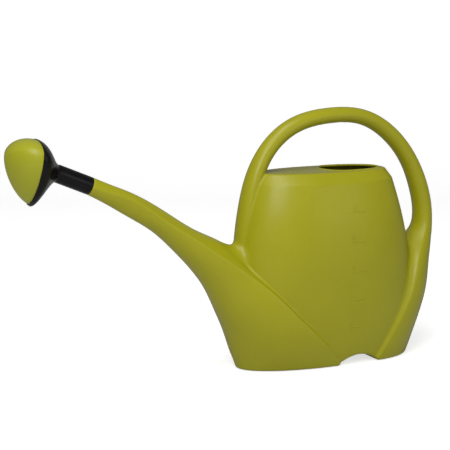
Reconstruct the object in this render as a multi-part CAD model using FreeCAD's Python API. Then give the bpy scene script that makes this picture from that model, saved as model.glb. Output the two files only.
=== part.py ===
import FreeCAD, Part
import math
import os

# Watering can: one blow-moulded hollow body (tank, spout and loop handle in one piece) with a
# push-on sprinkler rose.  Millimetres, +Z up, spout towards -X, mirror plane Y = 0.
# The origin lies on the front foot, near the middle of the base.

V = FreeCAD.Vector

# ---- driving dimensions ----------------------------------------------------------------
WALL = 2.4                 # wall of the blow moulding
BIG = 900.0                # side of the half-space boxes used for splitting

# Core of the tank: level z, front end x, widest x, rear end x, half width
CORE_LEVELS = [
    (0.0, -118.0, 30.0, 158.0, 54.0),
    (45.0, -126.0, 28.0, 167.0, 69.0),
    (110.0, -132.0, 25.0, 170.0, 78.0),
    (175.0, -131.0, 23.0, 163.0, 80.0),
    (240.0, -122.0, 21.0, 147.5, 74.0),
    (300.0, -104.0, 19.0, 129.0, 58.0),
]
CORE_FRONT_POWER = 2.1
CORE_REAR_POWER = 2.4
SHOULDER_R = 12.0

# Front petal and spout: nose x, z; crease x, z; half width; back bulge; roundness power
HORN_STATIONS = [
    (-367.1, 284.0, -362.0, 296.0, 13.0, 13.0, 2.0),
    (-345.0, 272.0, -337.0, 286.5, 14.0, 11.5, 2.0),
    (-309.0, 250.0, -299.0, 271.5, 16.0, 10.0, 2.0),
    (-268.0, 223.5, -253.5, 239.5, 21.0, 14.0, 2.0),
    (-236.0, 194.0, -209.8, 210.5, 27.0, 16.5, 2.0),
    (-207.0, 163.0, -173.4, 184.3, 36.0, 25.1, 2.0),
    (-184.0, 132.0, -137.0, 157.8, 46.0, 26.0, 1.95),
    (-165.5, 96.0, -97.4, 124.1, 63.0, 28.0, 1.95),
    (-149.5, 60.0, -56.5, 82.2, 73.5, 28.0, 1.95),
    (-139.0, 28.0, -13.6, 41.5, 71.5, 26.0, 1.95),
    (-129.0, 0.0, 22.0, 0.0, 58.0, 22.0, 2.0),
]

# Rear petal, from the handle's rear leg down to the base
LOBE_STATIONS = [
    (219.5, 206.0, 200.5, 206.0, 18.0, 14.0, 2.0),
    (217.0, 180.0, 192.0, 185.3, 27.0, 22.0, 2.0),
    (208.0, 150.0, 168.5, 155.0, 48.0, 28.0, 2.0),
    (201.0, 108.0, 150.6, 109.8, 60.0, 28.0, 2.0),
    (191.0, 70.0, 129.0, 70.7, 64.0, 28.0, 2.0),
    (179.0, 34.0, 106.0, 35.0, 64.0, 26.0, 2.0),
    (166.5, 0.0, 86.0, 0.0, 57.0, 22.0, 2.1),
]

# Loop handle: centre x, z; half thickness in the loop plane; half width across it
HANDLE_STATIONS = [
    (-122.0, 180.0, 12.5, 13.0),
    (-119.0, 212.0, 12.5, 13.0),
    (-113.0, 250.0, 12.5, 13.0),
    (-102.0, 292.0, 12.3, 13.5),
    (-76.0, 337.0, 12.8, 14.0),
    (-38.0, 367.0, 12.5, 14.5),
    (28.0, 382.3, 12.2, 15.0),
    (89.0, 377.5, 12.2, 15.0),
    (140.0, 348.5, 13.0, 15.0),
    (174.5, 308.5, 13.5, 15.5),
    (196.0, 262.0, 14.8, 16.5),
    (203.0, 222.0, 16.2, 17.5),
    (203.0, 205.0, 16.8, 18.0),
]

# Gusset between the spout's upper side and the front leg of the handle: a slab with a hollow top
GUSSET_HALF = 9.0
GUSSET_LOW = (-184.0, 198.0)
GUSSET_DIP = (-152.0, 194.5)
GUSSET_HIGH = (-127.0, 230.0)
GUSSET_INNER = (-110.0, 180.0)
GUSSET_FOOT = (-158.0, 168.0)

# Fill opening in the deck
MOUTH = (18.0, 46.0, 112.0, 34.0)   # front x, widest x, rear x, half width
MOUTH_POWER = 2.2
LIP_H = 1.7
LIP_W = 4.0
DECK_Z = 300.0
MOUTH_CUT = 20.0           # how far the opening's cutter reaches above and below the deck

# Transverse arch through the base, between the two feet
ARCH_MID = 54.0
ARCH_HALF = 37.0
ARCH_H = 15.0
ARCH_ROUND = 0.85          # power on the cosine that draws the arch

# Planes that split the moulding into regions: heights, then a point and a normal each
BASE_Z = 30.0
DECK_SPLIT_Z = 286.0
SPOUT_CUT = (V(-236.0, 0.0, 196.0), V(-1.0, 0.0, 0.75))
NECK_CUT = (V(-290.0, 0.0, 250.0), V(-1.0, 0.0, 0.5))
FRONT_CREASE_CUT = (V(18.0, 0.0, 0.0), V(-163.5, 0.0, -144.0))
REAR_CREASE_CUT = (V(92.0, 0.0, 0.0), V(156.0, 0.0, -68.0))

# Graduation marks on the near side: litre figures and heights
MARKS = [(2, 64.0), (4, 108.0), (6, 152.0), (8, 197.0), (10, 242.0)]
MARK_X = 24.0
MARK_LEN = 26.0
MARK_T = 1.3
MARK_PROUD = 0.8
FIGURE_H = 8.0
FIGURE_W = 4.2
FIGURE_STROKE = 1.0
FIGURE_STEP = 5.6          # from one figure to the next
MARK_BOTTOM = 40.0
MARK_TOP = 270.0

# Spout end, spigot, seal and rose
AXIS_DEG = 23.0
END = V(-362.0, 0.0, 296.0)
SPIGOT_R = 9.7
SPIGOT_LEN = 40.0
BORE_R = 7.6
BORE_BACK = 20.0           # the bore's cutter starts this far inside the spout
COLLAR_R = 12.0            # collar that joins the spigot to the spout's wall
COLLAR_LEN = 4.0
SEAL_CLEAR = 0.08
SEAL_OUT_R = 10.7
SEAL_LEN = 34.0
SEAL_START = 3.0
SOCKET_R = 13.0
SOCKET_GAP = 0.4
SOCKET_LEN = 53.0
THROAT_R = 9.0
STOP_LEN = 4.0             # length of the shoulder that the spigot comes up to
NECK_R = 13.7              # the funnel starts with a slight step above the socket
FUNNEL_WALL = 2.2
PAST_RIM = 1.04            # the funnel's hollow runs on past the rim by this factor

# Rose rim: rounded triangle, tip down
RIM_X = -445.0
RIM_Z = 325.0
RIM_TILT_DEG = 9.0
RIM_R = 46.5
RIM_E = 4.8
ROSE_WALL = 1.8
FUNNEL_SAG = 4.0           # how far the middle of the funnel hangs below its straight line
APEX_DEPTH = 42.0
APEX_LIFT = 13.0
DOME_POWER = 1.7           # superellipse power of the dome's profile
DOME_LEVELS = (0.0, 0.2, 0.42, 0.62, 0.79, 0.91, 0.98)
FLARE_GAIN = 1.06          # how early the funnel reaches its full width
FLARE_POWER = 0.9
EDGE_POWER = 0.7           # how fast the funnel turns from round to triangular
HOLE_R = 0.8
HOLE_RINGS = 7
HOLE_PITCH = 5.2
HOLE_LIFT = 4.0            # the rings of holes sit this far above the rim's centre
DRILL_LEN = 80.0


# ---- helpers ---------------------------------------------------------------------------
def spline(points, closed):
    curve = Part.BSplineCurve()
    curve.interpolate(Points=points, PeriodicFlag=closed)
    return curve.toShape()


def signed_power(value, power):
    return math.copysign(abs(value) ** power, value)


def largest(shape):
    return max(shape.Solids, key=lambda s: s.Volume)


def half_space(point, normal):
    """A big box on the side of the plane that the normal points to."""
    box = Part.makeBox(BIG, BIG, BIG, V(-BIG / 2, -BIG / 2, 0))
    box.Placement = FreeCAD.Placement(point, FreeCAD.Rotation(V(0, 0, 1), normal))
    return box


# ---- tank core -------------------------------------------------------------------------
def core_wire(level, grow):
    z, front, widest, rear, half = level
    points = []
    count = 28
    for i in range(count):
        a = 2 * math.pi * i / count
        ahead = math.cos(a) > 0
        power = 2 / (CORE_REAR_POWER if ahead else CORE_FRONT_POWER)
        reach = (rear - widest if ahead else widest - front) + grow
        x = widest + reach * signed_power(math.cos(a), power)
        y = (half + grow) * signed_power(math.sin(a), power)
        points.append(V(x, y, z))
    return Part.Wire([spline(points, True)])


def core(grow, bottom, top):
    """The cushion-shaped tank between the two petals, between two heights."""
    solid = Part.makeLoft([core_wire(lv, grow) for lv in CORE_LEVELS], True, False)
    edges = [e for e in solid.Edges if e.BoundBox.ZMin > DECK_Z - 1]
    solid = solid.makeFillet(SHOULDER_R + min(grow, 0), edges)
    keep = Part.makeBox(BIG, BIG, top - bottom, V(-BIG / 2, -BIG / 2, bottom))
    return solid.common(keep)


# ---- petals ----------------------------------------------------------------------------
def petal_wire(station, grow):
    """A closed D: a bulged front from crease to crease, and a shallow back."""
    nx, nz, cx, cz, half, back, power = station
    out = V(nx - cx, 0, nz - cz)
    length = out.Length + grow
    out.normalize()
    half = half + grow
    back = back + grow
    mid = V(cx, 0, cz)
    front_points = []
    for i in range(9):
        a = math.pi * (i / 8 - 0.5)
        e = length * signed_power(math.cos(a), 2 / power)
        s = half * signed_power(math.sin(a), 2 / power)
        front_points.append(mid + out * e + V(0, s, 0))
    back_points = []
    for i in range(7):
        a = math.pi * (0.5 - i / 6)
        back_points.append(mid - out * back * math.cos(a) + V(0, half * math.sin(a), 0))
    back_points[0] = front_points[-1]
    back_points[-1] = front_points[0]
    return Part.Wire([spline(front_points, False), spline(back_points, False)])


def petal(stations, grow):
    return Part.makeLoft([petal_wire(s, grow) for s in stations], True, False)


# ---- handle ----------------------------------------------------------------------------
def handle(grow):
    wires = []
    last = len(HANDLE_STATIONS) - 1
    for i, (x, z, thick, wide) in enumerate(HANDLE_STATIONS):
        before = HANDLE_STATIONS[max(i - 1, 0)]
        after = HANDLE_STATIONS[min(i + 1, last)]
        along = V(after[0] - before[0], 0, after[1] - before[1])
        along.normalize()
        side = V(-along.z, 0, along.x)
        points = []
        for k in range(12):
            a = 2 * math.pi * k / 12
            point = V(x, 0, z) + side * (thick + grow) * math.cos(a)
            points.append(point + V(0, (wide + grow) * math.sin(a), 0))
        wires.append(Part.Wire([spline(points, True)]))
    return Part.makeLoft(wires, True, False)


def gusset():
    """The small web that fills the corner between spout and handle."""
    corners = (GUSSET_LOW, GUSSET_DIP, GUSSET_HIGH, GUSSET_INNER, GUSSET_FOOT)
    low, dip, high, inner, foot = [V(x, -GUSSET_HALF, z) for x, z in corners]
    edges = [
        Part.Arc(low, dip, high).toShape(),
        Part.makeLine(high, inner),
        Part.makeLine(inner, foot),
        Part.makeLine(foot, low),
    ]
    return Part.Face(Part.Wire(edges)).extrude(V(0, 2 * GUSSET_HALF, 0))


# ---- mouth and arch --------------------------------------------------------------------
def mouth_solid(grow, bottom, top):
    front, widest, rear, half = MOUTH
    points = []
    for i in range(20):
        a = 2 * math.pi * i / 20
        reach = (rear - widest if math.cos(a) > 0 else widest - front) + grow
        x = widest + reach * signed_power(math.cos(a), 2 / MOUTH_POWER)
        y = (half + grow) * signed_power(math.sin(a), 2 / MOUTH_POWER)
        points.append(V(x, y, bottom))
    face = Part.Face(Part.Wire([spline(points, True)]))
    return face.extrude(V(0, 0, top - bottom))


def arch_solid(grow):
    """A channel across the base under a cosine arch."""
    half = ARCH_HALF + grow
    steps = 12
    points = []
    for i in range(steps + 1):
        across = 2 * i / steps - 1
        rise = abs(math.cos(across * math.pi / 2)) ** ARCH_ROUND
        points.append(V(ARCH_MID + half * across, -BIG / 4, (ARCH_H + grow) * rise))
    drop = V(0, 0, -ARCH_H)
    edges = [
        spline(points, False),
        Part.makeLine(points[-1], points[-1] + drop),
        Part.makeLine(points[-1] + drop, points[0] + drop),
        Part.makeLine(points[0] + drop, points[0]),
    ]
    return Part.Face(Part.Wire(edges)).extrude(V(0, BIG / 2, 0))


# ---- the moulding ----------------------------------------------------------------------
def outer_body():
    body = core(0, 0, DECK_Z)
    body = body.fuse(petal(HORN_STATIONS, 0)).fuse(petal(LOBE_STATIONS, 0))
    body = body.fuse(gusset())
    body = body.fuse(mouth_solid(LIP_W, DECK_Z - 6, DECK_Z + LIP_H))
    body = body.common(Part.makeBox(BIG, BIG, BIG, V(-BIG / 2, -BIG / 2, 0)))
    return body.cut(arch_solid(0))


def inner_body():
    body = core(-WALL, WALL, DECK_Z - WALL)
    body = body.fuse(petal(HORN_STATIONS, -WALL)).fuse(petal(LOBE_STATIONS, -WALL))
    body = body.common(Part.makeBox(BIG, BIG, BIG, V(-BIG / 2, -BIG / 2, WALL)))
    return body.cut(arch_solid(WALL))


def spout_axis():
    return V(-math.cos(math.radians(AXIS_DEG)), 0, math.sin(math.radians(AXIS_DEG)))


def tube(start, inner, outer, length):
    axis = spout_axis()
    point = END + axis * start
    solid = Part.makeCylinder(outer, length, point, axis)
    return solid.cut(Part.makeCylinder(inner, length, point, axis))


def save(name, shape):
    solid = largest(shape)
    spare = shape.Volume - solid.Volume
    print(name, "valid", solid.isValid(), "volume", round(solid.Volume), "left out", round(spare, 2))
    solid.exportStep(os.path.join("parts", name + ".step"))


def build_moulding():
    outer = outer_body()
    inner = inner_body()
    shell = outer.cut(inner).cut(mouth_solid(0, DECK_Z - MOUTH_CUT, DECK_Z + MOUTH_CUT))
    start = END - spout_axis() * BORE_BACK
    bore = Part.makeCylinder(BORE_R, BORE_BACK + SPIGOT_LEN, start, spout_axis())
    shell = shell.cut(bore).fuse(tube(-COLLAR_LEN, BORE_R, COLLAR_R, COLLAR_LEN))
    grip = largest(handle(0).cut(outer)).cut(handle(-WALL))
    return outer, shell, grip


def centred_box(x, y, z):
    """A big box whose lowest corner in each given direction is set; None centres it."""
    start = [-BIG / 2 if value is None else value for value in (x, y, z)]
    return Part.makeBox(BIG, BIG, BIG, V(*start))


def split_moulding(shell):
    """The one moulding cut into regions that share faces and don't overlap."""
    past_tank = half_space(*SPOUT_CUT)
    past_neck = half_space(*NECK_CUT)
    spout = shell.common(past_tank)
    tank = shell.cut(past_tank)
    below = centred_box(None, None, BASE_Z - BIG)
    above = centred_box(None, None, DECK_SPLIT_Z)
    ahead = centred_box(ARCH_MID - BIG, None, None)
    near = centred_box(None, -BIG, None)
    front = half_space(*FRONT_CREASE_CUT)
    rear = half_space(*REAR_CREASE_CUT)
    base = tank.common(below)
    walls = tank.cut(below).cut(above)
    regions = {
        "spout_upper": spout.common(past_neck),
        "spout_lower": spout.cut(past_neck),
        "front_foot": base.common(ahead),
        "rear_foot": base.cut(ahead),
        "tank_deck": tank.common(above),
    }
    bands = {
        "front_petal": walls.common(front),
        "tank_wall": walls.cut(front).cut(rear),
        "rear_petal": walls.common(rear),
    }
    for name, band in bands.items():
        regions[name + "_near"] = band.common(near)
        regions[name + "_far"] = band.cut(near)
    return regions


# ---- rose ------------------------------------------------------------------------------
def rim_frame():
    tilt = math.radians(RIM_TILT_DEG)
    normal = V(-math.cos(tilt), 0, math.sin(tilt))
    up = V(math.sin(tilt), 0, math.cos(tilt))
    return V(RIM_X, 0, RIM_Z), normal, up


def rim_wire(centre, up, scale, edge):
    """Rounded triangle from its support function, tip pointing down."""
    points = []
    for i in range(24):
        a = 2 * math.pi * i / 24
        h = (RIM_R + RIM_E * math.sin(3 * a) * edge) * scale
        dh = 3 * RIM_E * math.cos(3 * a) * edge * scale
        across = h * math.cos(a) - dh * math.sin(a)
        rise = h * math.sin(a) + dh * math.cos(a)
        points.append(centre + V(0, across, 0) + up * rise)
    return Part.Wire([spline(points, True)])


def dome(grow):
    """The spray face's bulge: rim outlines shrinking towards an apex above the middle."""
    centre, normal, up = rim_frame()
    shrink = 1 + grow / RIM_R
    wires = []
    if grow < 0:
        wires.append(rim_wire(centre - normal * ROSE_WALL, up, shrink, 1.0))
    for t in DOME_LEVELS:
        scale = (1 - t ** DOME_POWER) ** (1 / DOME_POWER)
        at = centre + normal * (APEX_DEPTH + grow) * t + up * APEX_LIFT * t
        wires.append(rim_wire(at, up, scale * shrink, 1 - 0.5 * t * t))
    return Part.makeLoft(wires, True, False)


def rose_plate():
    plate = dome(0).cut(dome(-ROSE_WALL))
    centre, normal, up = rim_frame()
    drills = []
    for ring in range(HOLE_RINGS):
        count = max(1, 6 * ring)
        for k in range(count):
            a = 2 * math.pi * k / count + math.pi / 2
            y = ring * HOLE_PITCH * math.cos(a)
            rise = ring * HOLE_PITCH * math.sin(a) + HOLE_LIFT
            base = centre + V(0, y, 0) + up * rise
            drills.append(Part.makeCylinder(HOLE_R, DRILL_LEN, base, normal))
    return plate.cut(Part.makeCompound(drills))


def funnel(grow):
    """Trumpet from the socket to the rim: round at the neck, triangular at the rim."""
    centre, normal, up = rim_frame()
    axis = spout_axis()
    neck = END + axis * SOCKET_LEN
    side = V(-axis.z, 0, axis.x)
    side = side if side.z > 0 else side * -1
    wires = []
    end = 1.0 if grow == 0 else PAST_RIM
    for t in (0.0, 0.25, 0.5, 0.75, end):
        at = neck * (1 - t) + centre * t
        lean = side * (1 - t) + up * t
        lean.normalize()
        grown = min(1.0, FLARE_GAIN * t ** FLARE_POWER)
        flare = grown * grown * (3 - 2 * grown)
        edge = t ** EDGE_POWER
        scale = (NECK_R * (1 - flare) + RIM_R * flare) / RIM_R
        at = at - up * FUNNEL_SAG * 4 * t * (1 - t)
        wires.append(rim_wire(at, lean, scale + grow / RIM_R, edge))
    return Part.makeLoft(wires, True, False)


def rose_shell():
    """Black funnel and socket in one piece, with a stop shoulder behind the seal."""
    axis = spout_axis()
    socket = Part.makeCylinder(SOCKET_R, SOCKET_LEN - SOCKET_GAP, END + axis * SOCKET_GAP, axis)
    hollow = Part.makeCylinder(SEAL_OUT_R + SEAL_CLEAR, SOCKET_LEN - STOP_LEN, END, axis)
    throat_start = END + axis * (SOCKET_LEN - STOP_LEN - 2)
    throat = Part.makeCylinder(THROAT_R, STOP_LEN + 4, throat_start, axis)
    return funnel(0).fuse(socket).cut(funnel(-FUNNEL_WALL)).cut(hollow).cut(throat)


# ---- graduation marks ------------------------------------------------------------------
SEGMENTS = {
    "0": "abcdef", "1": "bc", "2": "abged", "4": "fgbc", "6": "acdefg", "8": "abcdefg",
}


def figure_bars(char, x, z):
    """Bars of one plain figure standing on height z, as boxes in the XZ plane."""
    w, h, t = FIGURE_W, FIGURE_H, FIGURE_STROKE
    places = {
        "a": (0, h - t, w, t), "d": (0, 0, w, t), "g": (0, (h - t) / 2, w, t),
        "b": (w - t, h / 2, t, h / 2), "c": (w - t, 0, t, h / 2),
        "e": (0, 0, t, h / 2), "f": (0, h / 2, t, h / 2),
    }
    bars = []
    for key in SEGMENTS[char]:
        dx, dz, lx, lz = places[key]
        bars.append(Part.makeBox(lx, BIG / 4, lz, V(x + dx, -BIG / 4, z + dz)))
    return bars


def marks(outer):
    raised = core(MARK_PROUD, MARK_BOTTOM, MARK_TOP).cut(outer)
    for litres, z in MARKS:
        stencil = Part.makeBox(MARK_LEN, BIG / 4, MARK_T, V(MARK_X, -BIG / 4, z))
        text = str(litres)
        for k, char in enumerate(text):
            for bar in figure_bars(char, MARK_X + k * FIGURE_STEP, z + MARK_T):
                stencil = stencil.fuse(bar)
        save("mark_%02d_l" % litres, raised.common(stencil.removeSplitter()))


# ---- build -----------------------------------------------------------------------------
def main():
    os.makedirs("parts", exist_ok=True)
    outer, shell, grip = build_moulding()
    regions = split_moulding(shell)
    spigot = tube(0, BORE_R, SPIGOT_R, SPIGOT_LEN)
    regions["spout_upper"] = regions["spout_upper"].fuse(spigot)
    for name, region in regions.items():
        save(name, region)
    save("loop_handle", grip)
    save("rose_seal", tube(SEAL_START, SPIGOT_R + SEAL_CLEAR, SEAL_OUT_R, SEAL_LEN))
    save("rose_shell", rose_shell())
    save("rose_plate", rose_plate())
    marks(outer)


main()
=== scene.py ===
import itertools
import math

import bmesh
import bpy
import numpy as np
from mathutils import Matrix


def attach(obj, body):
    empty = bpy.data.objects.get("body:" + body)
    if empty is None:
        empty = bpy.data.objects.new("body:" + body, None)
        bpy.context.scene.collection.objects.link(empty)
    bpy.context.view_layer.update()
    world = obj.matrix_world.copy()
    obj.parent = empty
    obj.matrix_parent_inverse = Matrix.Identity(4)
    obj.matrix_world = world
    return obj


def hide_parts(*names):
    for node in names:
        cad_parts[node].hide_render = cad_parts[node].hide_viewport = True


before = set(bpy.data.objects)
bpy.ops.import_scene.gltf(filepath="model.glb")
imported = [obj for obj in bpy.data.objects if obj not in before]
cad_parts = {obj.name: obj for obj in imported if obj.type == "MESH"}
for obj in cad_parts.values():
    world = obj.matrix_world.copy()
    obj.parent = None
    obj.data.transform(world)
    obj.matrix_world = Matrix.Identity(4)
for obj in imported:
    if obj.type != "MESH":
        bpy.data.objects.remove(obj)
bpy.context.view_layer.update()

import openvdb as vdb
from mathutils import Matrix, Vector
from mathutils.bvhtree import BVHTree

# Shapes are worked out in millimetres in the row frame, and scaled to metres as meshes are made.
MM = 0.001

# ---- driving dimensions, in millimetres ------------------------------------------------
VOXEL = 1.8                # spacing of the distance grid that the moulding is meshed from
BAND = 10                  # width of the grid's band on each side of a surface, in voxels
GRID_LOW = (-380.0, -92.0, -12.0)
GRID_HIGH = (236.0, 92.0, 404.0)
WALL = 2.4                 # wall of the blow moulding

# How finely the forms are sampled: rows along each, points around each
CORE_ROWS, CORE_SIDES = 260, 480
PETAL_ROWS, PETAL_FRONT_SIDES, PETAL_BACK_SIDES = 240, 120, 80
HANDLE_ROWS, HANDLE_SIDES = 200, 48
WEB_ROWS, WEB_SIDES = 40, 32

# Core of the tank: level z, front end x, widest x, rear end x, half width
CORE_LEVELS = [
    (-12.0, -116.0, 30.0, 155.0, 49.0),
    (0.0, -118.0, 30.0, 158.0, 54.0),
    (45.0, -126.0, 28.0, 167.0, 69.0),
    (110.0, -132.0, 25.0, 170.0, 78.0),
    (175.0, -130.0, 23.0, 163.0, 80.0),
    (240.0, -119.0, 21.0, 147.5, 74.0),
    (300.0, -99.0, 19.0, 129.0, 58.0),
]
CORE_FRONT_POWER = 2.1
CORE_REAR_POWER = 2.4
DECK_Z = 300.0
CHAMFER_Z = 287.5          # where the chamfer between wall and deck begins
CHAMFER_IN = 10.0          # how far it leans in, at the sides
CHAMFER_END = 0.45         # share of that at the core's two ends
SHOULDER_R = 4.5           # rounding of the chamfer's edges

# Petals: nose x, z; crease x, z; half width at the crease; back bulge; roundness power
HORN_STATIONS = [
    (-367.1, 284.0, -362.0, 296.0, 13.0, 13.0, 2.0),
    (-345.0, 272.0, -337.0, 286.5, 14.0, 11.5, 2.0),
    (-309.0, 250.0, -299.0, 271.5, 16.0, 10.0, 2.0),
    (-268.0, 223.5, -253.5, 239.5, 21.0, 14.0, 2.0),
    (-236.0, 194.0, -209.8, 210.5, 27.0, 16.5, 2.0),
    (-207.0, 163.0, -173.4, 184.3, 36.0, 24.0, 2.0),
    (-184.0, 132.0, -137.0, 157.8, 46.0, 18.0, 1.95),
    (-165.5, 96.0, -97.4, 124.1, 63.0, 16.0, 1.95),
    (-149.5, 60.0, -56.5, 82.2, 73.5, 15.0, 1.95),
    (-139.0, 28.0, -13.6, 41.5, 71.5, 15.0, 1.95),
    (-129.0, 0.0, 22.0, 0.0, 58.0, 16.0, 2.0),
    (-126.0, -12.0, 31.0, -12.0, 53.0, 16.0, 2.0),
]
LOBE_STATIONS = [
    (212.0, 245.0, 203.0, 245.0, 9.0, 4.0, 2.0),
    (218.5, 207.0, 200.5, 207.0, 18.5, 7.0, 2.0),
    (217.0, 180.0, 192.0, 185.3, 27.0, 14.0, 2.0),
    (208.0, 150.0, 168.5, 155.0, 48.0, 24.0, 2.0),
    (201.0, 108.0, 150.6, 109.8, 60.0, 24.0, 2.0),
    (191.0, 70.0, 129.0, 70.7, 64.0, 20.0, 2.0),
    (179.0, 34.0, 106.0, 35.0, 64.0, 18.0, 2.0),
    (166.5, 0.0, 86.0, 0.0, 57.0, 16.0, 2.1),
    (162.0, -12.0, 79.0, -12.0, 53.0, 16.0, 2.1),
]

# Loop handle: centre x, z; half thickness in the loop's plane; half width across it
HANDLE_STATIONS = [
    (-121.0, 150.0, 15.0, 18.5),
    (-116.5, 212.0, 15.0, 18.5),
    (-111.0, 250.0, 14.5, 18.0),
    (-101.0, 292.0, 13.3, 17.0),
    (-76.0, 337.0, 12.8, 14.0),
    (-38.0, 367.0, 12.5, 14.5),
    (28.0, 382.3, 12.2, 15.0),
    (89.0, 377.5, 12.2, 15.0),
    (140.0, 348.5, 13.0, 15.0),
    (174.5, 308.5, 13.5, 15.5),
    (196.0, 262.0, 14.8, 16.5),
    (203.8, 226.0, 14.8, 17.0),
    (202.0, 190.0, 14.0, 17.0),
]

# Fill opening in the deck, and the low lip around it
MOUTH_FRONT, MOUTH_WIDEST, MOUTH_REAR, MOUTH_HALF = 18.0, 46.0, 112.0, 34.0
MOUTH_POWER = 2.2
MOUTH_CUT = 20.0           # the opening's cutter reaches this far above and below the deck
LIP_H, LIP_W = 1.7, 4.0
LIP_ROOT = 2.0             # added to half of the lip's height, so that it reaches below the deck
LIP_R = 1.0

# Arch under the base, between the two feet
ARCH_MID, ARCH_HALF, ARCH_H = 54.0, 37.0, 15.0
ARCH_ROUND = 0.85
ARCH_SLOPE = 0.8           # turns height above the arch into distance from it

# Web between spout and handle: centre x, z; radius
WEB_STATIONS = [
    (-180.0, 191.0, 4.5),
    (-162.0, 185.0, 10.5),
    (-145.0, 178.5, 16.5),
    (-130.0, 172.0, 21.5),
    (-112.0, 164.0, 24.0),
]

# Softness of the joins between the moulding's forms, and of its cut edges
SOFT_LIMB = 7.0            # handle with rear petal
SOFT_HANDLE = 1.5          # handle with core, at the front
SOFT_LOBE = 13.0           # handle and rear petal with core, at the rear
REAR_FROM, REAR_TO = 80.0, 130.0
SOFT_PETAL = 4.0
SOFT_WEB = 9.0
SOFT_LIP = 2.5
SOFT_ARCH = 4.0
SOFT_BASE = 2.0
SOFT_END = 1.0
SOFT_INSIDE = 0.6
SOFT_MOUTH = 1.2
SOFT_BORE = 0.5
PETAL_EDGE_R = 1.6         # rounding of the petals' ridges

# Evening out the moulding's mesh
SETTLE_ROUNDS, SETTLE_STEPS = 3, 2
SETTLE_SHARE = 0.6         # how far a point goes to its neighbours' mean in a round
MAX_MOVE = 0.5
MIN_SLOPE = 0.2            # keeps divisions by the slope safe
IRON_ROUNDS, IRON_SHARE = 14, 0.5
FLAT_LIFT = 0.03           # a point this close to its neighbours' mean lies on a flat wall

# Litre marks: litres, height; then a line's start, length, width and height above the wall
MARKS = [(2, 64.0), (4, 108.0), (6, 152.0), (8, 197.0), (10, 242.0)]
MARK_X, MARK_LEN, MARK_WIDTH, MARK_PROUD = 24.0, 26.0, 1.4, 0.4
FIGURE_W, FIGURE_H, FIGURE_STROKE = 4.4, 7.0, 0.95
FIGURE_IN, FIGURE_UP = 1.0, 2.6      # first figure's place from the line's start
FIGURE_STEP = FIGURE_W + 2.2
RIB_STEP = 1.2
RIB_PROFILE = [(-1.0, -0.3), (-0.85, 0.55), (-0.45, 0.95), (0.45, 0.95), (0.85, 0.55), (1.0, -0.3)]
RIB_CAP_WIDTH, RIB_CAP_RISE = 0.55, -0.3
OUTSIDE_Y = -200.0

# Spout end, spigot, seal and socket
AXIS_DEG = 23.0
END = np.array([-362.0, 0.0, 296.0])
SPIGOT_R, SPIGOT_LEN, BORE_R = 9.7, 40.0, 7.6
SPIGOT_ROOT = 6.0          # the spigot starts this far inside the spout's end
SPIGOT_TAPER, SPIGOT_EDGE_R = 0.3, 0.8
COLLAR_R, COLLAR_BACK = SPIGOT_R + 1.5, 0.6
BORE_REACH = 30.0
SEAL_CLEAR, SEAL_OUT_R, SEAL_LEN, SEAL_START = 0.08, 10.7, 34.0, 3.0
SEAL_EDGE_R = 0.3
SOCKET_R, SOCKET_GAP, SOCKET_LEN = 13.0, 0.4, 53.0
NECK_R, THROAT_R = 13.1, 9.0
STOP_LEN = 4.0             # the ledge inside the socket

# Rose: a rounded triangle for a rim, tip down; funnel; domed and drilled plate
RIM_CENTRE = np.array([-445.0, 0.0, 325.0])
RIM_TILT_DEG = 9.0
RIM_R, RIM_E = 46.5, 4.8
RIM_SIDES = 144
FUNNEL_SAG, FUNNEL_WALL = 4.0, 2.2
FLARE_GAIN, FLARE_POWER, CORNER_POWER = 1.06, 0.9, 0.7
ROSE_WALL, APEX_DEPTH, APEX_LIFT = 1.8, 42.0, 13.0
PLATE_INSET = 1.6
DOME_POWER, DOME_ROWS, DOME_REACH = 1.7, 44, 0.985
DOME_CORNER = 0.35         # how much sharper the plate's three corners get half way up
HOLE_R, HOLE_SIDES = 0.8, 10
HOLE_RINGS, HOLE_PITCH, HOLE_LIFT = 8, 4.6, 5.0
DRILL_FROM, DRILL_TO = 4.0, 70.0

# Stage, light and camera
STAGE_GLOW = 0.68          # how much brighter the stage looks to the camera
STAGE_TONE = 0.66
STAGE_HALF, STAGE_DEPTH, STAGE_TALL, STAGE_BEND = 6000.0, 2600.0, 5000.0, 900.0
STAGE_DROP = 0.2           # keeps the floor clear of the can's underside
STAGE_STEPS = 16
WORLD_LIGHT = 0.24
CAMERA_TURN_DEG, CAMERA_PITCH_DEG = 26.0, 9.46
CAMERA_PLACE_M = (-0.9645, -1.6703, 0.5344)
CAMERA_LENS, CAMERA_SENSOR = 100.8, 36.0
LIGHT_TARGET_M = (-0.05, 0.0, 0.2)
# Lights: name, place and size in metres, power in watts
LIGHTS = [
    ("key", (-1.5, -1.8, 1.8), 1.3, 37),
    ("fill", (1.2, -2.6, 1.0), 1.8, 9),
    ("top", (-0.6, -0.6, 2.2), 1.1, 18),
]

axis = np.array([-math.cos(math.radians(AXIS_DEG)), 0.0, math.sin(math.radians(AXIS_DEG))])
axis_up = np.array([math.sin(math.radians(AXIS_DEG)), 0.0, math.cos(math.radians(AXIS_DEG))])
SIDE = np.array([0.0, 1.0, 0.0])


# ---- small helpers ---------------------------------------------------------------------
def signed_power(value, power):
    return np.sign(value) * np.abs(value) ** power


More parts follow.
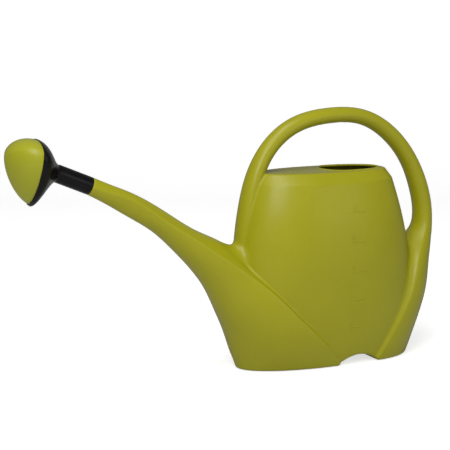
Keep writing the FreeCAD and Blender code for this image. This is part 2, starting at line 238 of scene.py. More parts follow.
def smooth_rows(rows, count, place):
    """Stations made dense with a natural cubic spline, spaced by the columns in place."""
    rows = np.array(rows, float)
    gaps = np.linalg.norm(np.diff(rows[:, place], axis=0), axis=1)
    t = np.concatenate([[0.0], np.cumsum(gaps)])
    n = len(t)
    system = np.zeros((n, n))
    right = np.zeros_like(rows)
    system[0, 0] = system[-1, -1] = 1.0
    for i in range(1, n - 1):
        before, after = t[i] - t[i - 1], t[i + 1] - t[i]
        system[i, i - 1 : i + 2] = before, 2 * (before + after), after
        right[i] = 6 * ((rows[i + 1] - rows[i]) / after - (rows[i] - rows[i - 1]) / before)
    bend = np.linalg.solve(system, right)
    at = np.linspace(0.0, t[-1], count)
    k = np.clip(np.searchsorted(t, at, "right") - 1, 0, n - 2)
    span = (t[k + 1] - t[k])[:, None]
    a = (t[k + 1] - at)[:, None] / span
    b = 1 - a
    curve = (a**3 - a) * bend[k] + (b**3 - b) * bend[k + 1]
    return a * rows[k] + b * rows[k + 1] + curve * span**2 / 6


def closed_grid(rings):
    """Points, quads and end triangles of a tube of rings with flat ends."""
    k, m = rings.shape[:2]
    points = rings.reshape(-1, 3)
    i, j = np.meshgrid(np.arange(k - 1), np.arange(m), indexing="ij")
    j2 = (j + 1) % m
    quads = np.stack([i * m + j, i * m + j2, (i + 1) * m + j2, (i + 1) * m + j], -1).reshape(-1, 4)
    ends = np.stack([rings[0].mean(0), rings[-1].mean(0)])
    first, last = k * m, k * m + 1
    r = np.arange(m)
    r2 = (r + 1) % m
    low = np.stack([r2, r, np.full(m, first)], -1)
    high = np.stack([(k - 1) * m + r, (k - 1) * m + r2, np.full(m, last)], -1)
    return np.concatenate([points, ends]), quads, np.concatenate([low, high])


low_index = np.floor(np.array(GRID_LOW) / VOXEL).astype(int)
high_index = np.ceil(np.array(GRID_HIGH) / VOXEL).astype(int)
GRID_SHAPE = tuple(int(v) for v in high_index - low_index + 1)
X, Y, Z = (
    (np.arange(n, dtype=np.float32) + start) * VOXEL for n, start in zip(GRID_SHAPE, low_index)
)
X, Y, Z = X[:, None, None], Y[None, :, None], Z[None, None, :]
to_world = vdb.createLinearTransform(voxelSize=VOXEL)


def distance(rings):
    """Signed distance of a closed tube of rings, on the grid."""
    points, quads, tris = closed_grid(rings)
    grid = vdb.FloatGrid.createLevelSetFromPolygons(
        points.astype(np.float32),
        triangles=tris.astype(np.uint32),
        quads=quads.astype(np.uint32),
        transform=to_world,
        halfWidth=float(BAND),
    )
    values = np.full(GRID_SHAPE, BAND * VOXEL, np.float32)
    grid.copyToArray(values, ijk=tuple(int(v) for v in low_index))
    return values


def join(a, b, soft):
    """Smooth union: a fillet about soft wide where the two surfaces meet."""
    h = np.clip(0.5 + 0.5 * (b - a) / soft, 0, 1)
    return b + (a - b) * h - soft * h * (1 - h)


def carve(a, b, soft):
    """a without b, with the edge rounded."""
    return -join(-a, b, soft)


def add_mesh(name, points, faces, smooth=True):
    mesh = bpy.data.meshes.new(name)
    mesh.from_pydata((np.asarray(points) * MM).tolist(), [], np.asarray(faces).tolist())
    mesh.update()
    mesh.polygons.foreach_set("use_smooth", [smooth] * len(mesh.polygons))
    obj = bpy.data.objects.new(name, mesh)
    bpy.context.collection.objects.link(obj)
    return obj


# ---- the moulding's forms --------------------------------------------------------------
def core_rings(shrink):
    """Level rings of the tank's core, made smaller all round by shrink."""
    rows = smooth_rows(CORE_LEVELS, CORE_ROWS, [0, 4])
    rows = rows[rows[:, 0] <= DECK_Z - shrink]
    rows = np.concatenate([rows, rows[-1:]])
    rows[-1, 0] = DECK_Z - shrink
    a = np.linspace(0, 2 * math.pi, CORE_SIDES, endpoint=False)
    ahead = np.cos(a) > 0
    power = 2 / np.where(ahead, CORE_REAR_POWER, CORE_FRONT_POWER)
    rings = []
    for z, front, widest, rear, half in rows:
        cut = CHAMFER_IN * max(z + shrink - CHAMFER_Z, 0) / (DECK_Z - CHAMFER_Z)
        inset = shrink + cut
        reach = np.where(ahead, rear - widest, widest - front) - shrink - cut * CHAMFER_END
        x = widest + reach * signed_power(np.cos(a), power)
        y = (half - inset) * signed_power(np.sin(a), power)
        rings.append(np.stack([x, y, np.full_like(x, z)], -1))
    return np.array(rings)


def petal_rings(stations, shrink):
    """Rings of a petal: a round front, two ridges, and a low parabola for a back."""
    rings = []
    front = np.linspace(-0.5, 0.5, PETAL_FRONT_SIDES, endpoint=False) * math.pi
    back = np.linspace(0.5, -0.5, PETAL_BACK_SIDES, endpoint=False) * math.pi
    for nx, nz, cx, cz, half, bulge, power in smooth_rows(stations, PETAL_ROWS, [0, 1, 2, 3]):
        out = np.array([nx - cx, 0.0, nz - cz])
        length = np.linalg.norm(out)
        out = out / length
        length, half, bulge = length - shrink, half - shrink, bulge - shrink
        middle = np.array([cx, 0.0, cz])
        e = length * signed_power(np.cos(front), 2 / power)
        s = half * signed_power(np.sin(front), 2 / power)
        ring = middle + e[:, None] * out + s[:, None] * SIDE
        e2, s2 = -bulge * np.cos(back) ** 2, half * np.sin(back)
        rings.append(np.concatenate([ring, middle + e2[:, None] * out + s2[:, None] * SIDE]))
    return np.array(rings)


def bar_rings(rows, sides):
    """Rings across a bar in the mirror plane: centre x, z; half thickness; half width."""
    a = np.linspace(0, 2 * math.pi, sides, endpoint=False)
    along = np.gradient(rows[:, :2], axis=0)
    along /= np.linalg.norm(along, axis=1)[:, None]
    rings = []
    for (x, z, thick, wide), (tx, tz) in zip(rows, along):
        e, s = thick * np.cos(a), wide * np.sin(a)
        rings.append(np.stack([x - tz * e, s, z + tx * e], -1))
    return np.array(rings)


def handle_rings():
    return bar_rings(smooth_rows(HANDLE_STATIONS, HANDLE_ROWS, [0, 1]), HANDLE_SIDES)


def web_rings():
    """The web in the corner between the spout's top and the handle's front leg."""
    rows = smooth_rows(WEB_STATIONS, WEB_ROWS, [0, 1])
    return bar_rings(rows[:, [0, 1, 2, 2]], WEB_SIDES)


def mouth_distance():
    """Level distance from the fill opening's outline, negative inside it."""
    dx = X - MOUTH_WIDEST
    reach = np.where(dx > 0, MOUTH_REAR - MOUTH_WIDEST, MOUTH_WIDEST - MOUTH_FRONT)
    spread = (np.abs(dx) / reach) ** MOUTH_POWER + (np.abs(Y) / MOUTH_HALF) ** MOUTH_POWER
    r = np.maximum(spread ** (1 / MOUTH_POWER), 0.05)
    return np.sqrt(dx**2 + Y**2) * (1 - 1 / r)


def lip_distance(mouth):
    """A low lip with a rounded top, just outside the fill opening."""
    half_w, half_h = LIP_W / 2, LIP_H + LIP_ROOT
    off_w = np.abs(mouth - half_w) - half_w + LIP_R
    off_h = np.abs(Z - DECK_Z - LIP_H + half_h) - half_h + LIP_R
    lip = np.sqrt(np.maximum(off_w, 0) ** 2 + np.maximum(off_h, 0) ** 2)
    lip = lip + np.minimum(np.maximum(off_w, off_h), 0) - LIP_R
    return lip.astype(np.float32)


def arch_height():
    """Height of the arch along the base, zero outside it."""
    arch = np.cos(np.clip((X - ARCH_MID) / ARCH_HALF, -1, 1) * math.pi / 2)
    return ARCH_H * np.maximum(arch, 0) ** ARCH_ROUND


def forms_distance():
    """Core, handle, petals and web, joined."""
    outer = distance(core_rings(SHOULDER_R)) - SHOULDER_R
    lobe = distance(petal_rings(LOBE_STATIONS, PETAL_EDGE_R)) - PETAL_EDGE_R
    limb = join(lobe, distance(handle_rings()), SOFT_LIMB)
    rearward = np.clip((X - REAR_FROM) / (REAR_TO - REAR_FROM), 0, 1)
    outer = join(outer, limb, SOFT_HANDLE + (SOFT_LOBE - SOFT_HANDLE) * rearward)
    horn = distance(petal_rings(HORN_STATIONS, PETAL_EDGE_R)) - PETAL_EDGE_R
    outer = join(outer, horn, SOFT_PETAL)
    return join(outer, distance(web_rings()), SOFT_WEB)


def moulding_distance():
    """The hollow moulding: forms and lip, cut by the arch, the floor and the spout's end."""
    mouth = mouth_distance()
    outer = join(forms_distance(), lip_distance(mouth), SOFT_LIP)
    outer = carve(outer, (Z - arch_height()) * ARCH_SLOPE, SOFT_ARCH)
    outer = carve(outer, Z + 0 * X, SOFT_BASE)
    past_end = (X - END[0]) * axis[0] + (Z - END[2]) * axis[2]
    outer = carve(outer, -past_end, SOFT_END)
    shell = carve(outer, outer + WALL, SOFT_INSIDE)
    shell = carve(shell, np.maximum(mouth, np.abs(Z - DECK_Z) - MOUTH_CUT), SOFT_MOUTH)
    off_x = (X - END[0]) - past_end * axis[0]
    off_z = (Z - END[2]) - past_end * axis[2]
    bore = np.sqrt(off_x**2 + off_z**2 + Y**2) - BORE_R
    return carve(shell, np.maximum(bore, np.abs(past_end) - BORE_REACH), SOFT_BORE)


# ---- the moulding's mesh ---------------------------------------------------------------
def sample(values, points):
    """Trilinear values of the grid at points in millimetres."""
    at = points / VOXEL - low_index
    base = np.clip(np.floor(at).astype(int), 0, np.array(GRID_SHAPE) - 2)
    f = at - base
    total = 0
    for corner in itertools.product((0, 1), repeat=3):
        i, j, k = (base + corner).T
        total = total + np.abs(1 - np.array(corner) - f).prod(1) * values[i, j, k]
    return total


def grid_slope(values, points):
    step = VOXEL * 0.5
    columns = []
    for k in range(3):
        shift = step * np.eye(3)[k]
        columns.append(sample(values, points + shift) - sample(values, points - shift))
    return np.stack(columns, -1) / (2 * step)


def neighbour_means(points, edges):
    count = len(points)
    total = np.zeros_like(points)
    for k in range(3):
        total[:, k] = np.bincount(edges[:, 0], points[edges[:, 1], k], count)
        total[:, k] += np.bincount(edges[:, 1], points[edges[:, 0], k], count)
    number = np.bincount(edges[:, 0], minlength=count) + np.bincount(edges[:, 1], minlength=count)
    return total / number[:, None]


def settle(points, edges, values):
    """Evens out the mesh, then moves each point back onto the surface."""
    for _ in range(SETTLE_ROUNDS):
        points = points * (1 - SETTLE_SHARE) + SETTLE_SHARE * neighbour_means(points, edges)
        for _ in range(SETTLE_STEPS):
            slope = grid_slope(values, points)
            move = sample(values, points) / np.maximum((slope**2).sum(1), MIN_SLOPE)
            points = points - slope * np.clip(move, -MAX_MOVE, MAX_MOVE)[:, None]
    return points


def iron(points, edges, slope):
    """Smooths the nearly flat walls and leaves creases and edges as they are."""
    normal = slope / np.maximum(np.linalg.norm(slope, axis=1), MIN_SLOPE)[:, None]
    lift = ((neighbour_means(points, edges) - points) * normal).sum(1)
    weight = np.clip(2.0 - np.abs(lift) / FLAT_LIFT, 0, 1)[:, None] * IRON_SHARE
    for _ in range(IRON_ROUNDS):
        points = points + weight * (neighbour_means(points, edges) - points)
    return points


def make_moulding():
    values = moulding_distance().astype(np.float32)
    grid = vdb.FloatGrid(BAND * VOXEL)
    grid.copyFromArray(values, ijk=tuple(int(v) for v in low_index))
    grid.transform = to_world
    points, quads = grid.convertToQuads(0.0)
    quads = np.array(quads).astype(np.int64)
    edges = np.concatenate([quads[:, [k, (k + 1) % 4]] for k in range(4)])
    points = settle(np.array(points, float), edges, values)
    points = iron(points, edges, grid_slope(values, points))
    return add_mesh("can_moulding", points, quads[:, ::-1])


# ---- litre marks -----------------------------------------------------------------------
SEGMENTS = {"0": "abcdef", "1": "bc", "2": "abged", "4": "fgbc", "6": "acdefg", "8": "abcdefg"}


def figure_strokes(char, x, z):
    w, h = FIGURE_W, FIGURE_H
    ends = {
        "a": ((0, h), (w, h)), "d": ((0, 0), (w, 0)), "g": ((0, h / 2), (w, h / 2)),
        "b": ((w, h / 2), (w, h)), "c": ((w, 0), (w, h / 2)),
        "e": ((0, 0), (0, h / 2)), "f": ((0, h / 2), (0, h)),
    }
    return [
        ((x + p[0], z + p[1]), (x + q[0], z + q[1]), FIGURE_STROKE)
        for p, q in (ends[key] for key in SEGMENTS[char])
    ]


def mark_strokes():
    """For each mark a line, and its figures above: start, end and width of every stroke."""
    strokes = []
    for litres, z in MARKS:
        strokes.append(((MARK_X, z), (MARK_X + MARK_LEN, z), MARK_WIDTH))
        for k, char in enumerate(str(litres)):
            strokes += figure_strokes(char, MARK_X + FIGURE_IN + k * FIGURE_STEP, z + FIGURE_UP)
    return strokes


def rib_points(tree, start, end, width):
    """Profiles along one stroke, laid on the near wall, with a narrow low one at each end."""
    (x0, z0), (x1, z1) = start, end
    length = math.hypot(x1 - x0, z1 - z0)
    ux, uz = (x1 - x0) / length, (z1 - z0) / length
    steps = max(4, int(length / RIB_STEP))
    places = [(-width / 2, True)]
    places += [(i / steps * length, False) for i in range(steps + 1)]
    places += [(length + width / 2, True)]
    points = []
    for along, is_cap in places:
        for across, rise in RIB_PROFILE:
            if is_cap:
                across, rise = across * RIB_CAP_WIDTH, min(rise, RIB_CAP_RISE)
            x = x0 + ux * along - uz * across * width / 2
            z = z0 + uz * along + ux * across * width / 2
            hit, normal, _, _ = tree.ray_cast(Vector((x, OUTSIDE_Y, z)) * MM, Vector((0, 1, 0)))
            points.append(np.array(hit) / MM + np.array(normal) * rise * MARK_PROUD)
    return points


def rib_faces(start, rows):
    size = len(RIB_PROFILE)
    faces = []
    for i in range(rows - 1):
        for j in range(size):
            j2 = (j + 1) % size
            a, b = start + i * size, start + (i + 1) * size
            faces.append((a + j, b + j, b + j2, a + j2))
    faces.append(tuple(start + j for j in range(size)))
    faces.append(tuple(start + (rows - 1) * size + j for j in reversed(range(size))))
    return faces


def make_marks(body):
    """Low rounded ribs on the near wall, one for each stroke."""
    tree = BVHTree.FromObject(body, bpy.context.evaluated_depsgraph_get())
    points, faces = [], []
    for start, end, width in mark_strokes():
        rib = rib_points(tree, start, end, width)
        faces += rib_faces(len(points), len(rib) // len(RIB_PROFILE))
        points += rib
    return add_mesh("litre_marks", points, np.array(faces, dtype=object))


# ---- rose, seal and spigot -------------------------------------------------------------
def ring_quads(rings, closed):
    k, m = rings.shape[:2]
    steps = k if closed else k - 1
    i, j = np.meshgrid(np.arange(steps), np.arange(m), indexing="ij")
    i2, j2 = (i + 1) % k, (j + 1) % m
    return np.stack([i * m + j, i * m + j2, i2 * m + j2, i2 * m + j], -1).reshape(-1, 4)


def lathe(name, profile, count=96):
    """Closed ring from (distance along the spout's axis, radius) corners."""
    a = np.linspace(0, 2 * math.pi, count, endpoint=False)
    rings = []
    for along, r in profile:
        circle = np.cos(a)[:, None] * SIDE + np.sin(a)[:, None] * axis_up
        rings.append(END + axis * along + circle * r)
    rings = np.array(rings)
    return add_mesh(name, rings.reshape(-1, 3), ring_quads(rings, True))


def rounded(corners, r, steps=3):
    """A closed outline with each corner replaced by a small arc."""
    out = []
    n = len(corners)
    corners = [np.array(c, float) for c in corners]
    for i in range(n):
        p, c, q = corners[i - 1], corners[i], corners[(i + 1) % n]
        to_p, to_q = (p - c), (q - c)
        cut = min(r, np.linalg.norm(to_p) / 2.2, np.linalg.norm(to_q) / 2.2)
        a = c + to_p / np.linalg.norm(to_p) * cut
        b = c + to_q / np.linalg.norm(to_q) * cut
        for s in range(steps + 1):
            t = s / steps
            out.append(a * (1 - t) ** 2 + 2 * c * t * (1 - t) + b * t**2)
    return out


def make_spigot():
    """The spout's bare end inside the rose, with the collar that the socket meets."""
    corners = [
        (-SPIGOT_ROOT, BORE_R),
        (-SPIGOT_ROOT, COLLAR_R),
        (-COLLAR_BACK, COLLAR_R),
        (-COLLAR_BACK, SPIGOT_R),
        (SPIGOT_LEN, SPIGOT_R - SPIGOT_TAPER),
        (SPIGOT_LEN, BORE_R),
    ]
    return lathe("spout_spigot", rounded(corners, SPIGOT_EDGE_R))


def make_seal():
    inner, outer = SPIGOT_R + SEAL_CLEAR, SEAL_OUT_R
    start, end = SEAL_START, SEAL_START + SEAL_LEN
    corners = [(start, inner), (start, outer), (end, outer), (end, inner)]
    return lathe("rose_seal_ring", rounded(corners, SEAL_EDGE_R))


rim_tilt = math.radians(RIM_TILT_DEG)
rim_normal = np.array([-math.cos(rim_tilt), 0.0, math.sin(rim_tilt)])
rim_up = np.array([math.sin(rim_tilt), 0.0, math.cos(rim_tilt)])
ROUND = np.linspace(0, 2 * math.pi, RIM_SIDES, endpoint=False)


def rim_ring(centre, up, scale, edge):
    """Rounded triangle from its support function, tip pointing down."""
    h = (RIM_R + RIM_E * np.sin(3 * ROUND) * edge) * scale
    dh = 3 * RIM_E * np.cos(3 * ROUND) * edge * scale
    across = h * np.cos(ROUND) - dh * np.sin(ROUND)
    rise = h * np.sin(ROUND) + dh * np.cos(ROUND)
    return centre + across[:, None] * SIDE + rise[:, None] * up


def funnel_ring(t, grow):
    """Section of the funnel, from round at the neck (t = 0) to the rim's outline (t = 1)."""
    neck = END + axis * SOCKET_LEN
    at = neck * (1 - t) + RIM_CENTRE * t - rim_up * FUNNEL_SAG * 4 * t * (1 - t)
    lean = axis_up * (1 - t) + rim_up * t
    lean /= np.linalg.norm(lean)
    grown = min(1.0, FLARE_GAIN * t**FLARE_POWER)
    flare = grown * grown * (3 - 2 * grown)
    scale = (NECK_R * (1 - flare) + RIM_R * flare) / RIM_R
    return rim_ring(at, lean, scale + grow / RIM_R, t**CORNER_POWER)


def circle_ring(along, r):
    return END + axis * along + r * (np.cos(ROUND)[:, None] * SIDE + np.sin(ROUND)[:, None] * axis_up)


def lip_ring(forward, inset):
    """Ring near the rim, forward of its plane and inside its outline."""
    return rim_ring(RIM_CENTRE + rim_normal * forward, rim_up, 1 - inset / RIM_R, 1)


def make_rose_shell():
    """Socket, funnel and rim as one closed skin: up the outside, then back down the inside."""
    hollow = SEAL_OUT_R + SEAL_CLEAR
    socket_edge = [
        (SOCKET_GAP, hollow + 0.3),
        (SOCKET_GAP - 0.1, hollow + 0.7),
        (SOCKET_GAP - 0.1, SOCKET_R - 0.5),
        (SOCKET_GAP + 0.15, SOCKET_R - 0.1),
        (SOCKET_GAP + 0.6, SOCKET_R),
    ]
    socket_side = [(along, SOCKET_R) for along in np.linspace(4, SOCKET_LEN - 2.5, 8)]
    shoulder = [(SOCKET_LEN - 1.2, SOCKET_R + 0.03), (SOCKET_LEN - 0.4, SOCKET_R + 0.07)]
    rim = [(0.9, 0.2), (1.3, 0.8), (1.2, 1.3), (-1.0, 1.5)]
    inside = [
        (SOCKET_LEN, THROAT_R),
        (SOCKET_LEN - STOP_LEN, THROAT_R),
        (SOCKET_LEN - STOP_LEN, hollow),
        (SOCKET_GAP + 6, hollow),
    ]
    rings = [circle_ring(along, r) for along, r in socket_edge + socket_side + shoulder]
    rings += [funnel_ring(t, 0) for t in np.linspace(0.02, 1.0, 30)]
    rings += [lip_ring(forward, inset) for forward, inset in rim]
    rings += [funnel_ring(t, -FUNNEL_WALL) for t in np.linspace(0.93, 0.05, 16)]
    rings += [circle_ring(along, r) for along, r in inside]
    rings = np.array(rings)
    return add_mesh("rose_funnel", rings.reshape(-1, 3), ring_quads(rings, True))


def dome_ring(t, inset, deeper):
    """Section of the spray plate's dome, from the rim (t = 0) to near its tip."""
    scale = max(1 - t**DOME_POWER, 0.0) ** (1 / DOME_POWER)
    at = RIM_CENTRE + rim_normal * (APEX_DEPTH + deeper) * t + rim_up * APEX_LIFT * t
    return rim_ring(at, rim_up, scale * (1 - inset / RIM_R), 1 + DOME_CORNER * t * (1 - t))


def make_rose_plate():
    """Domed spray plate of even thickness, closed at the tip outside and inside."""
    levels = np.sin(np.linspace(0.0, DOME_REACH, DOME_ROWS) * math.pi / 2)
    outer = [dome_ring(t, PLATE_INSET, 0) for t in levels]
    inner = [dome_ring(t, PLATE_INSET + ROSE_WALL, -ROSE_WALL) for t in levels[::-1]]
    rings = np.array(outer + inner)
    count = len(ROUND)
    points = rings.reshape(-1, 3)
    quads = ring_quads(rings, True).tolist()
    quads = [q for q in quads if not joins_tip_rings(q)]
    tip, pit = len(points), len(points) + 1
    apex = RIM_CENTRE + rim_normal * APEX_DEPTH + rim_up * APEX_LIFT
    points = np.concatenate([points, [apex], [apex - rim_normal * ROSE_WALL]])
    a, b = (DOME_ROWS - 1) * count, DOME_ROWS * count
    for j in range(count):
        quads.append((a + j, a + (j + 1) % count, tip))
        quads.append((b + (j + 1) % count, b + j, pit))
    return add_mesh("rose_spray_plate", points, np.array(quads, dtype=object))


def joins_tip_rings(quad):
    """True for the quads that would join the outer ring at the tip to the inner one."""
    rings = {q // len(ROUND) for q in quad}
    return rings == {DOME_ROWS - 1, DOME_ROWS}


# ---- materials -------------------------------------------------------------------------
class Nodes:
    """A material's node tree, with short calls for making and linking nodes."""

    def __init__(self, name):
        self.material = bpy.data.materials.new(name)
        self.material.use_nodes = True
        self.tree = self.material.node_tree
        self.shader = self.tree.nodes["Principled BSDF"]
        self.place = self.make("ShaderNodeTexCoord").outputs["Object"]

    def make(self, kind, **settings):
        node = self.tree.nodes.new(kind)
        for key, value in settings.items():
            if key in node.inputs:
                node.inputs[key].default_value = value
            else:
                setattr(node, key, value)
        return node

    def link(self, output, node, name):
        self.tree.links.new(output, node.inputs[name])
        return node

    def noise(self, scale, detail=3.0, rough=0.5):
        node = self.make("ShaderNodeTexNoise", Scale=scale, Detail=detail, Roughness=rough)
        return self.link(self.place, node, "Vector").outputs["Fac"]

    def span(self, value, low, high, to_low, to_high):
        node = self.make("ShaderNodeMapRange")
        for key, number in (("From Min", low), ("From Max", high), ("To Min", to_low), ("To Max", to_high)):
            node.inputs[key].default_value = number
        return self.link(value, node, "Value").outputs["Result"]

    def math(self, kind, a, b):
        node = self.make("ShaderNodeMath", operation=kind)
        for slot_index, value in enumerate((a, b)):
            if isinstance(value, (int, float)):
                node.inputs[slot_index].default_value = value
            else:
                self.tree.links.new(value, node.inputs[slot_index])
        return node.outputs[0]

    def mix(self, fac, a, b):
        node = self.make("ShaderNodeMix", data_type="RGBA")
        self.link(fac, node, 0)
        for slot_index, value in ((6, a), (7, b)):
            if isinstance(value, tuple):
                node.inputs[slot_index].default_value = value + (1.0,)
            else:
                self.tree.links.new(value, node.inputs[slot_index])
        return node.outputs[2]

    def bump(self, height, distance_m, strength, onto=None):
        node = self.make("ShaderNodeBump", Distance=distance_m, Strength=strength)
        self.link(height, node, "Height")
        if onto is not None:
            self.link(onto, node, "Normal")
        return node.outputs["Normal"]

    def set(self, **values):
        for key, value in values.items():
            key = key.replace("_", " ")
            if hasattr(value, "links"):
                self.tree.links.new(value, self.shader.inputs[key])
            else:
                self.shader.inputs[key].default_value = value


def green_plastic(name, colour, dark, light, painted_edge_shade, grain):
    """Satin moulded polyethylene: cloudy colour, fine grain, and a parting line at Y = 0.

    It is darkened with painted shade where the surface turns away from the eye.
    """
    n = Nodes(name)
    cloud = n.span(n.noise(scale=9.0, detail=4.0, rough=0.55), 0.3, 0.7, 0.0, 1.0)
    base = n.mix(cloud, dark, colour)
    fleck = n.span(n.noise(scale=420.0, detail=2.0, rough=0.6), 0.62, 0.78, 0.0, 0.35)
    base = n.mix(fleck, base, light)
    rough = n.span(n.noise(scale=38.0, detail=5.0, rough=0.6), 0.3, 0.7, 0.33, 0.41)
    split = n.make("ShaderNodeSeparateXYZ")
    n.link(n.place, split, 0)
    off_middle = n.math("ABSOLUTE", split.outputs[1], 0.0)
    seam = n.span(off_middle, 0.00025, 0.0011, 1.0, 0.0)
    normal = n.bump(n.noise(scale=26.0, detail=2.0), distance_m=0.0022, strength=0.10)
    normal = n.bump(n.noise(scale=1500.0, detail=2.0), distance_m=0.00012, strength=grain, onto=normal)
    normal = n.bump(seam, distance_m=0.0003, strength=0.55, onto=normal)
    # Painted shade: the base colour is darkened towards a dark olive where the surface turns away from the
    # eye.
    facing = n.make("ShaderNodeLayerWeight", Blend=0.35).outputs["Facing"]
    edge = n.span(facing, 0.5, 1.0, 0.0, 0.65)
    n.set(Base_Color=n.mix(edge, base, painted_edge_shade), Roughness=rough, Normal=normal)
    n.set(IOR=1.5, Specular_IOR_Level=0.36)
    return n.material


def black_plastic(name):
    """Glossy black plastic with a faint haze of dust and handling."""
    n = Nodes(name)
    haze = n.span(n.noise(scale=60.0, detail=5.0, rough=0.65), 0.35, 0.75, 0.0, 1.0)
    base = n.mix(haze, (0.0030, 0.0026, 0.0031), (0.007, 0.006, 0.0065))
    rough = n.span(n.noise(scale=90.0, detail=5.0, rough=0.6), 0.3, 0.75, 0.16, 0.30)
    normal = n.bump(n.noise(scale=700.0, detail=2.0), distance_m=0.00008, strength=0.25)
    n.set(Base_Color=base, Roughness=rough, Normal=normal)
    n.set(IOR=1.45, Specular_IOR_Level=0.2)
    return n.material


def seal_rubber(name):
    n = Nodes(name)
    base = n.mix(n.noise(scale=200.0), (0.018, 0.018, 0.019), (0.04, 0.04, 0.04))
    rough = n.span(n.noise(scale=300.0), 0.3, 0.7, 0.62, 0.8)
    normal = n.bump(n.noise(scale=900.0), distance_m=0.0001, strength=0.4)
    n.set(Base_Color=base, Roughness=rough, Normal=normal)
    n.set(Specular_IOR_Level=0.35)
    return n.material


def stage_paint(name, tone):
    """Pale paint, brightened for the camera only, so that it adds no light to the can."""
    n = Nodes(name)
    base = n.mix(n.noise(scale=3.0), tuple(v * 0.985 for v in tone), tone)
    n.set(Base_Color=base, Roughness=0.9, Specular_IOR_Level=0.1)
    seen = n.make("ShaderNodeLightPath").outputs["Is Camera Ray"]
    glow = n.span(seen, 0.0, 1.0, 0.0, STAGE_GLOW)
    n.set(Emission_Color=(1.0, 1.0, 1.0, 1.0), Emission_Strength=glow)
    return n.material


# ---- the object ------------------------------------------------------------------------
def hole_places():
    """Centres of the spray holes in the rim's plane: rings of holes, every second one turned."""
    places = []
    for ring in range(HOLE_RINGS):
        number = max(1, 6 * ring)
        for k in range(number):
            a = 2 * math.pi * (k + 0.5 * (ring % 2)) / number + math.pi / 2
            across = ring * HOLE_PITCH * math.cos(a)
            rise = ring * HOLE_PITCH * math.sin(a) + HOLE_LIFT
            places.append(RIM_CENTRE + SIDE * across + rim_up * rise)
    return places


def add_hole_cutter():
    """Fine rods across the plate, one for each hole."""
    points, faces = [], []
    sides = range(HOLE_SIDES)
    turns = [2 * math.pi * s / HOLE_SIDES for s in sides]
    circle = [HOLE_R * (SIDE * math.cos(b) + rim_up * math.sin(b)) for b in turns]
    for place in hole_places():
        start = len(points)
        points += [place + rim_normal * DRILL_FROM + spoke for spoke in circle]
        points += [place + rim_normal * DRILL_TO + spoke for spoke in circle]
        far = start + HOLE_SIDES
        for s in sides:
            s2 = (s + 1) % HOLE_SIDES
            faces.append((start + s, start + s2, far + s2, far + s))
        faces.append(tuple(start + s for s in reversed(sides)))
        faces.append(tuple(far + s for s in sides))
    return add_mesh("hole_cutter", points, np.array(faces, dtype=object), smooth=False)


def drill_holes(plate):
    """Cuts the spray holes through the plate."""
    cutter = add_hole_cutter()
    cut = plate.modifiers.new("holes", "BOOLEAN")
    cut.operation = "DIFFERENCE"
    cut.solver = "EXACT"
    cut.object = cutter
    view = bpy.context.evaluated_depsgraph_get()
    drilled = bpy.data.meshes.new_from_object(plate.evaluated_get(view))
    plate.modifiers.clear()
    plate.data = drilled
    bpy.data.objects.remove(cutter)


def fix_normals(obj):
    """Turns every face outwards."""
    bm = bmesh.new()
    bm.from_mesh(obj.data)
    bmesh.ops.recalc_face_normals(bm, faces=bm.faces)
    bm.to_mesh(obj.data)
    bm.free()


can_green = green_plastic(
    "can_green",
    colour=(0.352, 0.338, 0.006),
    dark=(0.325, 0.311, 0.005),
    light=(0.38, 0.37, 0.012),
    # dark olive used as painted shade where the surface turns away from the eye
    painted_edge_shade=(0.13, 0.115, 0.0),
    grain=0.35,
)
rose_green = green_plastic(
    "rose_green",
    colour=(0.365, 0.375, 0.014),
    dark=(0.335, 0.342, 0.012),
    light=(0.39, 0.40, 0.025),
    # dark olive used as painted shade where the surface turns away from the eye
    painted_edge_shade=(0.15, 0.135, 0.0),
    grain=0.2,
)
gloss_black = black_plastic("gloss_black")
rubber = seal_rubber("seal_rubber")


def finish_piece(obj, material, body, nodes=(), sharp=None):
    """Material, body and replaced nodes; edges steeper than sharp degrees stay crisp."""
    fix_normals(obj)
    obj.data.materials.clear()
    obj.data.materials.append(material)
    if sharp:
        obj.data.set_sharp_from_angle(angle=math.radians(sharp))
    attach(obj, body)
    if nodes:
        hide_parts(*nodes)
    return obj


BANDS = ("front_petal", "tank_wall", "rear_petal")
band_nodes = tuple(band + side for band in BANDS for side in ("_near", "_far"))
whole_nodes = ("front_foot", "rear_foot", "tank_deck", "spout_lower", "spout_upper", "loop_handle")
mark_nodes = tuple("mark_%02d_l" % litres for litres, _ in MARKS)

moulding = make_moulding()
finish_piece(moulding, can_green, "can", band_nodes + whole_nodes)
finish_piece(make_marks(moulding), can_green, "can", mark_nodes, 50)
finish_piece(make_spigot(), can_green, "can", (), 40)
finish_piece(make_seal(), rubber, "seal", ("rose_seal",), 40)
finish_piece(make_rose_shell(), gloss_black, "rose", ("rose_shell",), 40)
plate = make_rose_plate()
drill_holes(plate)
finish_piece(plate, rose_green, "rose", ("rose_plate",), 40)


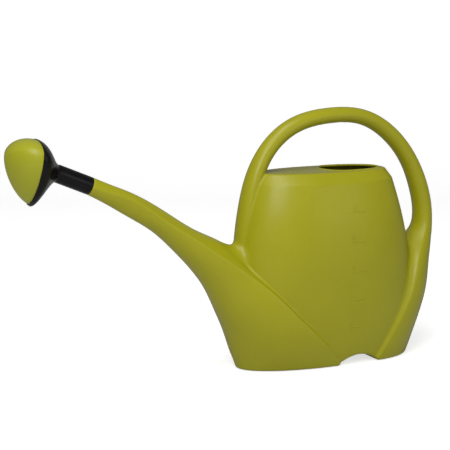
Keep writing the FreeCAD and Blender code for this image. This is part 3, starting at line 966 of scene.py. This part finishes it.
# ---- stage, light and camera -----------------------------------------------------------
def make_backdrop():
    """A pale floor that curves up into a pale backdrop."""
    line = [(-STAGE_HALF, 0.0), (STAGE_DEPTH - STAGE_BEND, 0.0)]
    for k in range(1, STAGE_STEPS + 1):
        a = k / STAGE_STEPS * math.pi / 2
        away = STAGE_DEPTH - STAGE_BEND + STAGE_BEND * math.sin(a)
        line.append((away, STAGE_BEND - STAGE_BEND * math.cos(a)))
    line.append((STAGE_DEPTH, STAGE_TALL))
    turn = math.radians(CAMERA_TURN_DEG)
    points = []
    for away, height in line:
        for side in (-STAGE_HALF, STAGE_HALF):
            x = side * math.cos(turn) + away * math.sin(turn)
            y = -side * math.sin(turn) + away * math.cos(turn)
            points.append((x, y, height - STAGE_DROP))
    faces = [(2 * i, 2 * i + 1, 2 * i + 3, 2 * i + 2) for i in range(len(line) - 1)]
    obj = add_mesh("backdrop", points, faces)
    obj.data.materials.append(stage_paint("backdrop_paint", (STAGE_TONE,) * 3))


def area_light(name, place, size, power):
    """A round lamp turned towards the can."""
    data = bpy.data.lights.new(name, "AREA")
    data.shape = "DISK"
    data.size = size
    data.energy = power
    obj = bpy.data.objects.new(name, data)
    obj.location = place
    way = Vector(LIGHT_TARGET_M) - Vector(place)
    obj.rotation_euler = way.to_track_quat("-Z", "Y").to_euler()
    bpy.context.collection.objects.link(obj)


def make_camera():
    """A view from the front left, a little above the deck."""
    turn, pitch = math.radians(CAMERA_TURN_DEG), math.radians(CAMERA_PITCH_DEG)
    ahead = Vector((math.sin(turn) * math.cos(pitch), math.cos(turn) * math.cos(pitch), -math.sin(pitch)))
    right = Vector((math.cos(turn), -math.sin(turn), 0))
    up = right.cross(ahead)
    data = bpy.data.cameras.new("camera")
    data.sensor_width = CAMERA_SENSOR
    data.lens = CAMERA_LENS
    obj = bpy.data.objects.new("camera", data)
    turned = Matrix((right, up, -ahead)).transposed().to_4x4()
    obj.matrix_world = Matrix.Translation(CAMERA_PLACE_M) @ turned
    bpy.context.collection.objects.link(obj)
    bpy.context.scene.camera = obj


def light_world(strength):
    world = bpy.data.worlds.new("studio")
    world.use_nodes = True
    back = world.node_tree.nodes["Background"]
    back.inputs["Color"].default_value = (1, 1, 1, 1)
    back.inputs["Strength"].default_value = strength
    bpy.context.scene.world = world


make_backdrop()
light_world(WORLD_LIGHT)
for light in LIGHTS:
    area_light(*light)
make_camera()
bpy.context.scene.view_settings.view_transform = "Standard"
